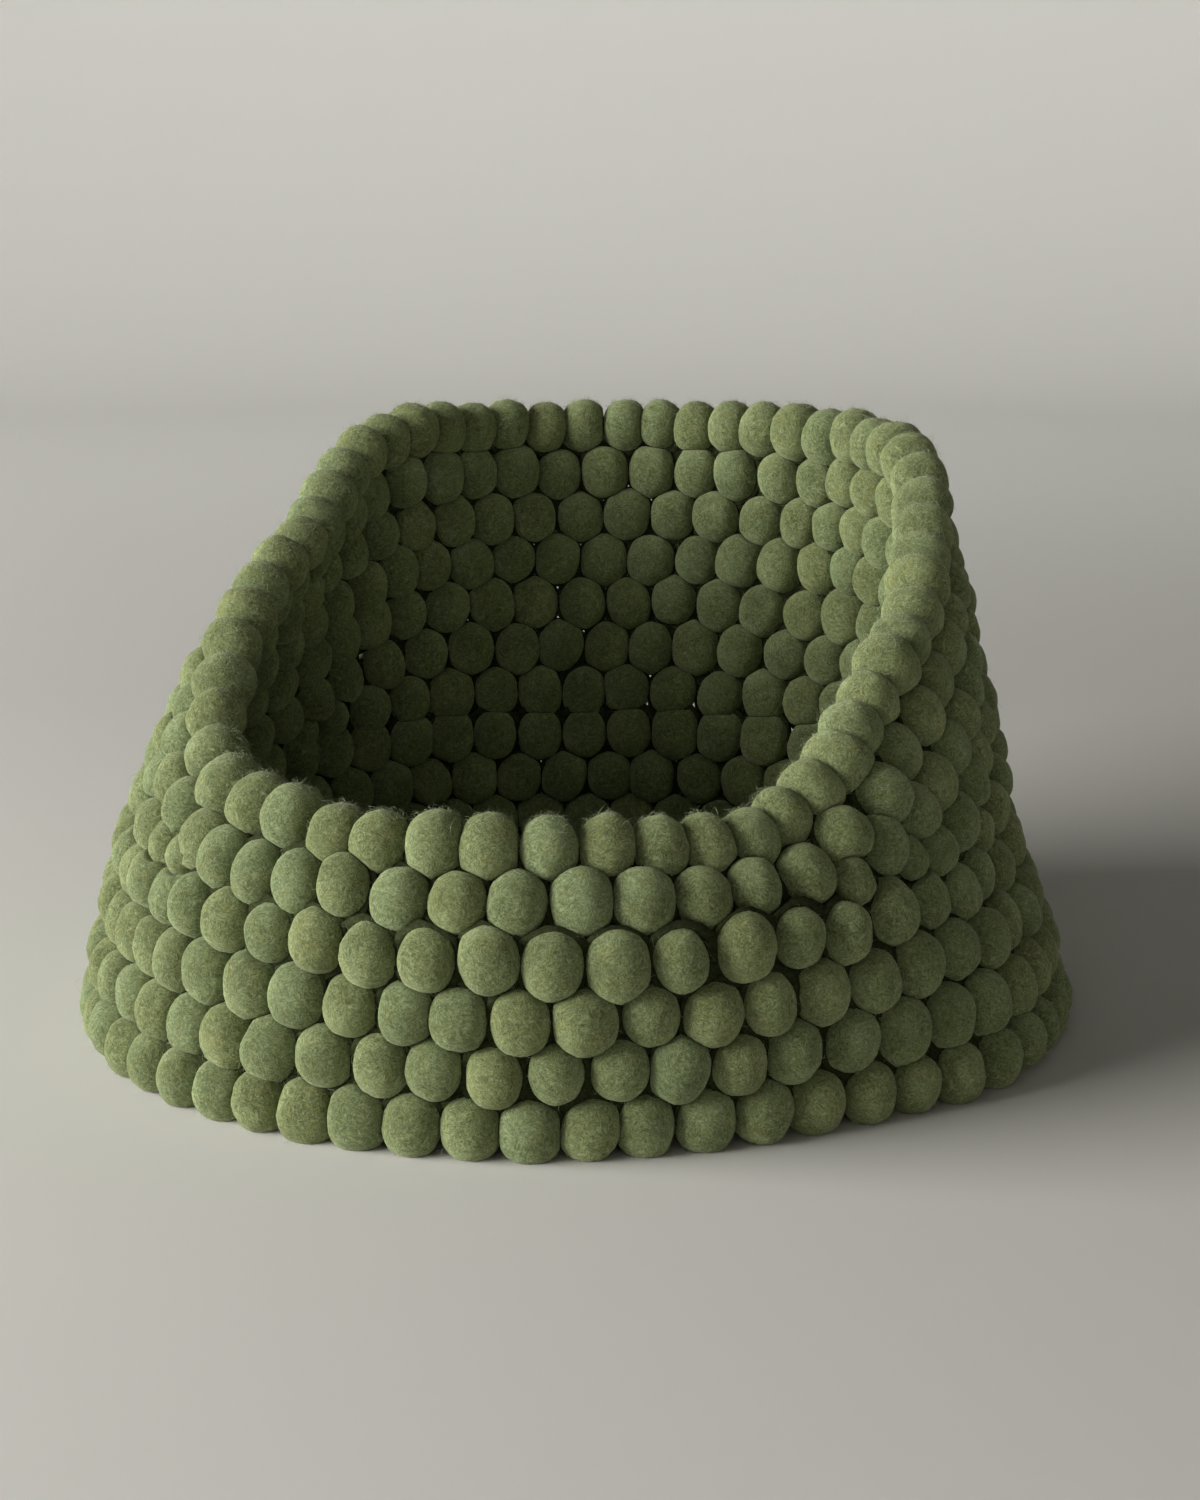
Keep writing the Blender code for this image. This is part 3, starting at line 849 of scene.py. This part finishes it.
def fibre_tree():
    tree, given, result = new_tree("loose_fibres", (
        ("Felt", "NodeSocketGeometry"), ("Fibres per Area", "NodeSocketFloat"),
        ("Shortest", "NodeSocketFloat"), ("Longest", "NodeSocketFloat"),
        ("Thickness", "NodeSocketFloat"), ("Seed", "NodeSocketInt"),
        *((label, "NodeSocketMaterial") for label, name, colour, share in FIBRE_TONES)))
    roots = node(tree, "GeometryNodeDistributePointsOnFaces", inputs={
        "Mesh": given["Felt"], "Density": given["Fibres per Area"] * attribute(tree, "hairy"),
        "Seed": given["Seed"]})
    facing = Wire(tree, roots.socket.node.outputs["Rotation"])
    lean = random_value(tree, LEAN_SEED, (-FIBRE_LEAN, -FIBRE_LEAN, 0.0),
                        (FIBRE_LEAN, FIBRE_LEAN, 2 * math.pi), "FLOAT_VECTOR")
    lean = node(tree, "FunctionNodeEulerToRotation", inputs={0: lean})
    turn = node(tree, "FunctionNodeRotateRotation", {"rotation_space": "LOCAL"}, {
        "Rotation": facing, "Rotate By": lean})
    longer = random_value(tree, LENGTH_SEED) ** FIBRE_SHORTNESS
    fibres = node(tree, "GeometryNodeInstanceOnPoints", inputs={
        "Points": roots, "Instance": fibre_forms(tree), "Pick Instance": True,
        "Instance Index": random_value(tree, FORM_SEED, 0, len(FIBRE_FORMS) - 1, "INT"),
        "Rotation": turn,
        "Scale": given["Shortest"] + (given["Longest"] - given["Shortest"]) * longer})
    fibres = node(tree, "GeometryNodeStoreNamedAttribute", {
        "data_type": "FLOAT", "domain": "INSTANCE"}, {
        "Geometry": fibres, "Name": "tone", "Value": random_value(tree, TONE_SEED)})
    fibres = node(tree, "GeometryNodeRealizeInstances", inputs={"Geometry": fibres})
    section = node(tree, "GeometryNodeCurvePrimitiveCircle", inputs={
        "Resolution": 3, "Radius": given["Thickness"] / 2}, output="Curve")
    along = node(tree, "GeometryNodeSplineParameter", output="Factor")
    fibres = node(tree, "GeometryNodeCurveToMesh", inputs={
        "Curve": fibres, "Profile Curve": section, "Scale": 1.0 - along * FIBRE_TAPER,
        "Fill Caps": True})
    lying = node(tree, "GeometryNodeInputPosition").at_least((-1.0, -1.0, LOWEST_FIBRE))
    fibres = node(tree, "GeometryNodeSetPosition", inputs={"Geometry": fibres, "Position": lying})
    fibres = node(tree, "GeometryNodeSetShadeSmooth", inputs={"Geometry": fibres})
    least_tone = 0.0
    for label, name, colour, share in FIBRE_TONES:
        fibres = node(tree, "GeometryNodeSetMaterial", inputs={
            "Geometry": fibres, "Material": given[label],
            "Selection": attribute(tree, "tone").above(least_tone)})
        least_tone += share
    tree.links.new(fibres.socket, result.inputs["Geometry"])
    return tree


loose_wool = {label: new_material(name, {"Base Color": colour, **FIBRE_FINISH})[0]
              for label, name, colour, share in FIBRE_TONES}
shedding = fibre_tree()
for number, (name, balls) in enumerate(strands.items()):
    if name.startswith("base_"):
        continue
    piece = new_object(name + "_fibres", threaded[name].data.copy())
    fibres_per_ball = RIM_FIBRES_PER_BALL if name == "rim_row" else FIBRES_PER_BALL
    grow(piece, shedding, {
        "Fibres per Area": fibres_per_ball / BALL_SKIN,
        "Shortest": FIBRE_LENGTH[0], "Longest": FIBRE_LENGTH[1],
        "Thickness": FIBRE_THICKNESS, "Seed": FIBRE_SEED + number, **loose_wool},
        ("tone", "tint", "middle", "hairy", "sharp_edge", "id"))
    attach(piece, "root")
for piece in threaded.values():
    piece.data.attributes.remove(piece.data.attributes["hairy"])

# ---------------------------------------------------------------- floor, light and camera
# A pale floor that curves up far away all round, one large soft light from the left, and weak light
# from above, on the backdrop and from everywhere else. The camera stands where the photograph was
# taken from.
FLOOR_RADIUS = 3.2
FLOOR_FLAT_RINGS = (0.4, 1.2)
FLOOR_CURVE = 1.0           # radius of the curve between the floor and the backdrop
FLOOR_CURVE_STEPS = 12
FLOOR_RISE = 1.8
FLOOR_SIDES = 96
FLOOR_FINISH = {"Base Color": (0.64, 0.63, 0.595, 1.0), "Roughness": 0.9}
SOFT_LIGHTS = (             # name, place, target, width and height, watts, colour
    ("window_light", (-2.42, -0.74, 0.80), (0.0, 0.0, 0.2), (2.1, 1.5), 147.0, (1.0, 0.99, 0.96)),
    ("upper_light", (-0.6, -1.75, 1.9), (0.0, 0.0, 0.1), (1.2, 1.2), 2.2, (1.0, 0.99, 0.96)),
    ("backdrop_light", (0.0, 1.3, 1.7), (0.0, 3.2, 0.9), (2.4, 0.8), 16.0, (0.96, 0.98, 1.0)),
)
ROOM_COLOUR = (1.0, 0.78, 0.46, 1.0)
ROOM_STRENGTH = 0.007
CAMERA_PLACE = (0.0090, -1.1022, 0.371)
CAMERA_TILT = math.radians(90 - 13.63)
FRAME_HEIGHT = 1500
FOCAL_PIXELS = 2713
SENSOR_HEIGHT = 24.0


def pale_floor():
    curve_start = FLOOR_RADIUS - FLOOR_CURVE
    rings = [(reach, 0.0) for reach in (*FLOOR_FLAT_RINGS, curve_start)]
    for step in range(1, FLOOR_CURVE_STEPS + 1):
        angle = math.radians(90 * step / FLOOR_CURVE_STEPS)
        rings.append((curve_start + FLOOR_CURVE * math.sin(angle),
                      FLOOR_CURVE * (1 - math.cos(angle))))
    rings.append((FLOOR_RADIUS, FLOOR_RISE))
    points = [(0.0, 0.0, 0.0)]
    for reach, height in rings:
        for side in range(FLOOR_SIDES):
            angle = 2 * math.pi * side / FLOOR_SIDES
            points.append((reach * math.cos(angle), reach * math.sin(angle), height))
    faces = [(0, 1 + side, 1 + (side + 1) % FLOOR_SIDES) for side in range(FLOOR_SIDES)]
    for ring in range(len(rings) - 1):
        first = 1 + ring * FLOOR_SIDES
        for side in range(FLOOR_SIDES):
            after = (side + 1) % FLOOR_SIDES
            faces.append((first + side, first + FLOOR_SIDES + side,
                          first + FLOOR_SIDES + after, first + after))
    mesh = bpy.data.meshes.new("pale_floor")
    mesh.from_pydata(points, [], faces)
    mesh.shade_smooth()
    mesh.materials.append(new_material("pale_floor", FLOOR_FINISH)[0])
    new_object("pale_floor", mesh)


def soft_light(name, place, target, size, power, colour):
    light = bpy.data.lights.new(name, "AREA")
    light.shape = "RECTANGLE"
    light.size, light.size_y = size
    light.energy = power
    light.color = colour
    lamp = new_object(name, light)
    lamp.location = place
    lamp.rotation_euler = (Vector(target) - Vector(place)).to_track_quat("-Z", "Y").to_euler()


pale_floor()
for values in SOFT_LIGHTS:
    soft_light(*values)
world = bpy.data.worlds.new("soft_room")
world.use_nodes = True
world.node_tree.nodes["Background"].inputs["Color"].default_value = ROOM_COLOUR
world.node_tree.nodes["Background"].inputs["Strength"].default_value = ROOM_STRENGTH
bpy.context.scene.world = world
bpy.context.scene.view_settings.view_transform = "Standard"

camera_data = bpy.data.cameras.new("camera")
camera_data.sensor_fit = "VERTICAL"
camera_data.sensor_height = SENSOR_HEIGHT
camera_data.lens = FOCAL_PIXELS / FRAME_HEIGHT * SENSOR_HEIGHT
camera = new_object("camera", camera_data)
camera.location = CAMERA_PLACE
camera.rotation_euler = (CAMERA_TILT, 0.0, 0.0)
bpy.context.scene.camera = camera
